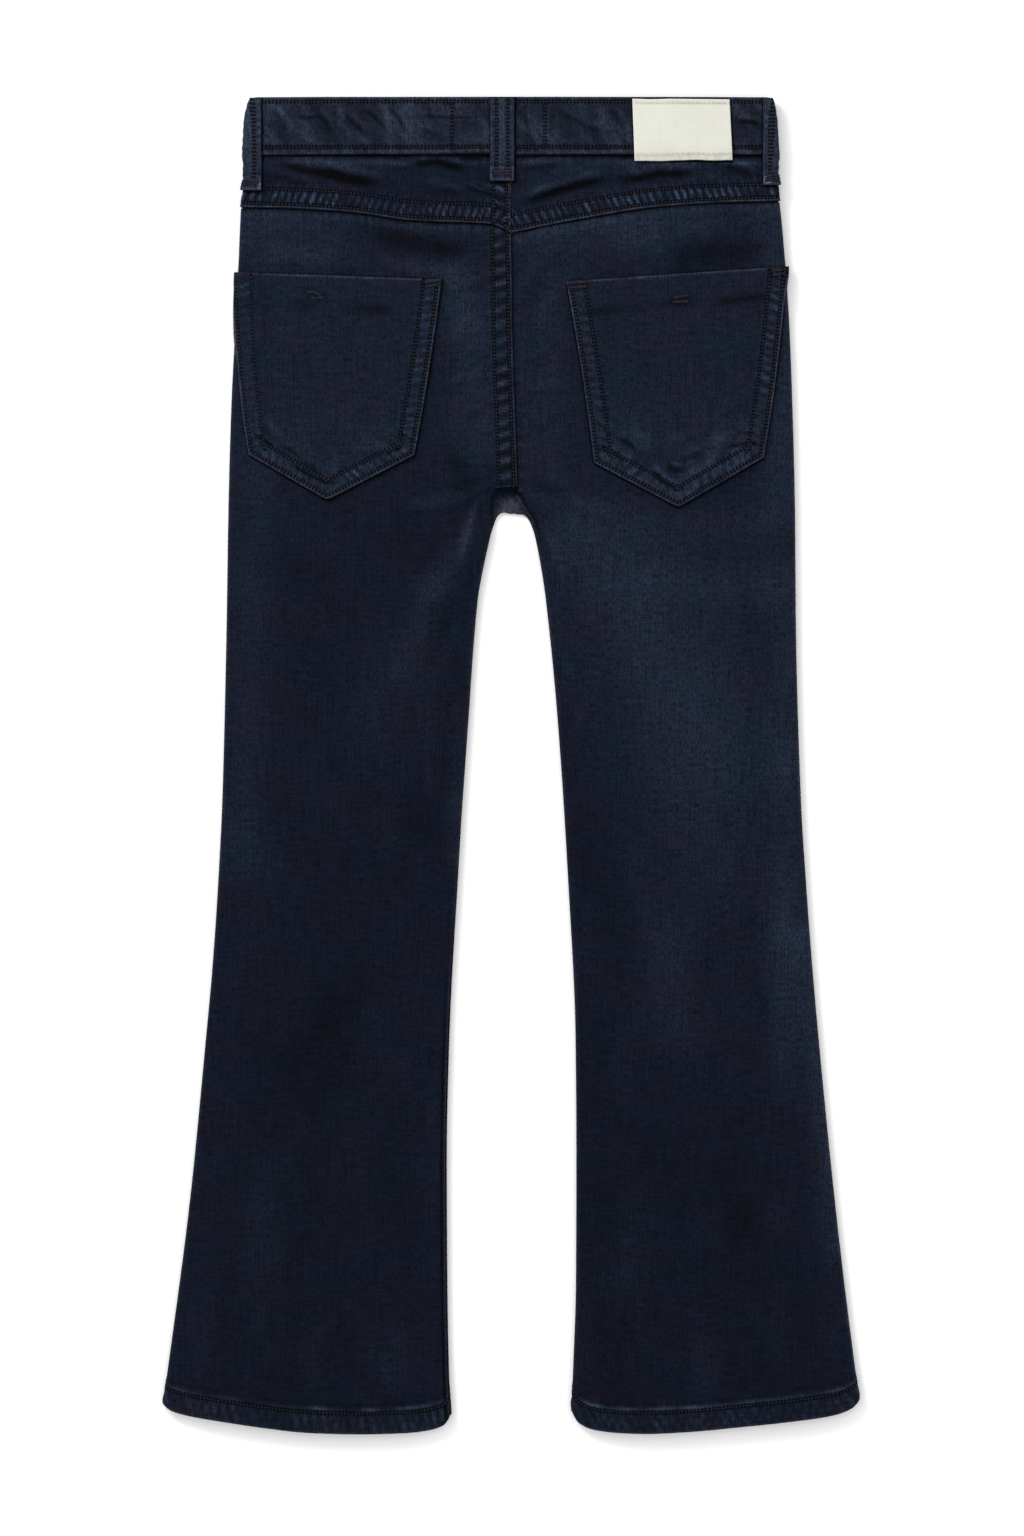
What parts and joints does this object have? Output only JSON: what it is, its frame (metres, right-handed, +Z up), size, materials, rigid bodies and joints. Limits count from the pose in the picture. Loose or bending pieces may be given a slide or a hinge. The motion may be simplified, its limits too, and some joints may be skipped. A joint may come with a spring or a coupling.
{
  "type": "flared jeans",
  "caption": "Child's dark denim flared jeans laid flat with the back up: yoke, patch pockets, belt loops, zip fly and turned hems.",
  "frame": {"origin": "centre of the garment's outline, on the surface it lies on", "axes": "+Y towards the waist, +X towards the wearer's right leg, +Z up out of the back of the garment"},
  "size_m": [0.3652, 0.7, 0.0135],
  "materials": {
    "denim": "dark navy denim twill, matt, a little lighter on raised seams",
    "denim_trim": "the same denim, slightly worn",
    "woven_patch": "cream woven tape, matt, bare",
    "zip_tape": "dark woven tape",
    "dark_metal": "dark antique metal, satin"
  },
  "bodies": {
    "root": {"back_left": "denim", "back_right": "denim", "front_left": "denim", "front_right": "denim", "yoke_left": "denim", "yoke_right": "denim", "front_pocket_left": "denim", "front_pocket_right": "denim", "back_pocket_left": "denim", "back_pocket_right": "denim", "waistband": "denim_trim", "belt_loop_centre": "denim_trim", "belt_loop_side_left": "denim_trim", "belt_loop_side_right": "denim_trim", "belt_loop_front_left": "denim_trim", "belt_loop_front_right": "denim_trim", "waist_patch": "woven_patch", "fly_zip": "zip_tape", "zip_slider": "dark_metal", "shank_button": "dark_metal"}
  },
  "joints": []
}
